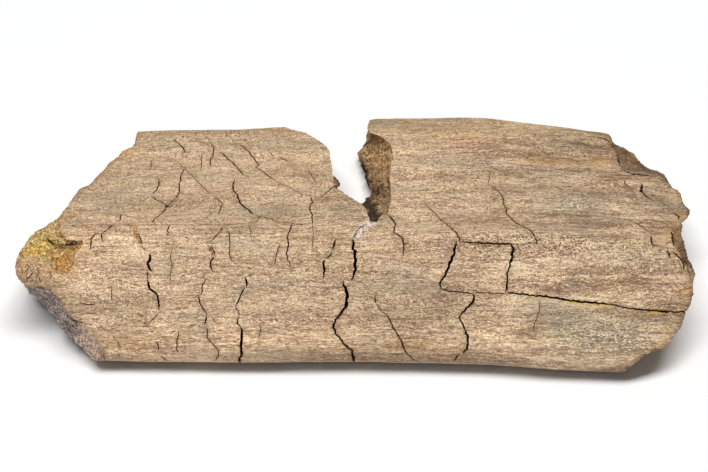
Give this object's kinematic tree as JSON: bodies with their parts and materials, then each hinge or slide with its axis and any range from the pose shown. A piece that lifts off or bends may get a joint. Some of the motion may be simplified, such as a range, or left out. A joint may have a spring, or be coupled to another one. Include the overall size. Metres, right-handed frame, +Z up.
{
  "type": "fossil dinosaur rib section",
  "caption": "Broken section of fossil dinosaur rib with a ridged, cracked surface, a deep notch in its thin edge and a flat inner face to lie on.",
  "frame": {"origin": "centre of the bounding box in plan, on the surface the bone lies on", "axes": "+X along the bone, from the tip with the yellow mineral to the worn end; -Y towards the thick rounded edge, +Y towards the thin edge with the notch; +Z up from the flat inner face"},
  "size_m": [0.1975, 0.0873, 0.0309],
  "materials": {
    "fossil_bone": "dry tan fossil bone with a fine lengthwise grain, dark open cracks, a scar crusted with yellow mineral and a grey-brown broken face"
  },
  "bodies": {
    "root": {"rib_section": "fossil_bone"}
  },
  "joints": []
}
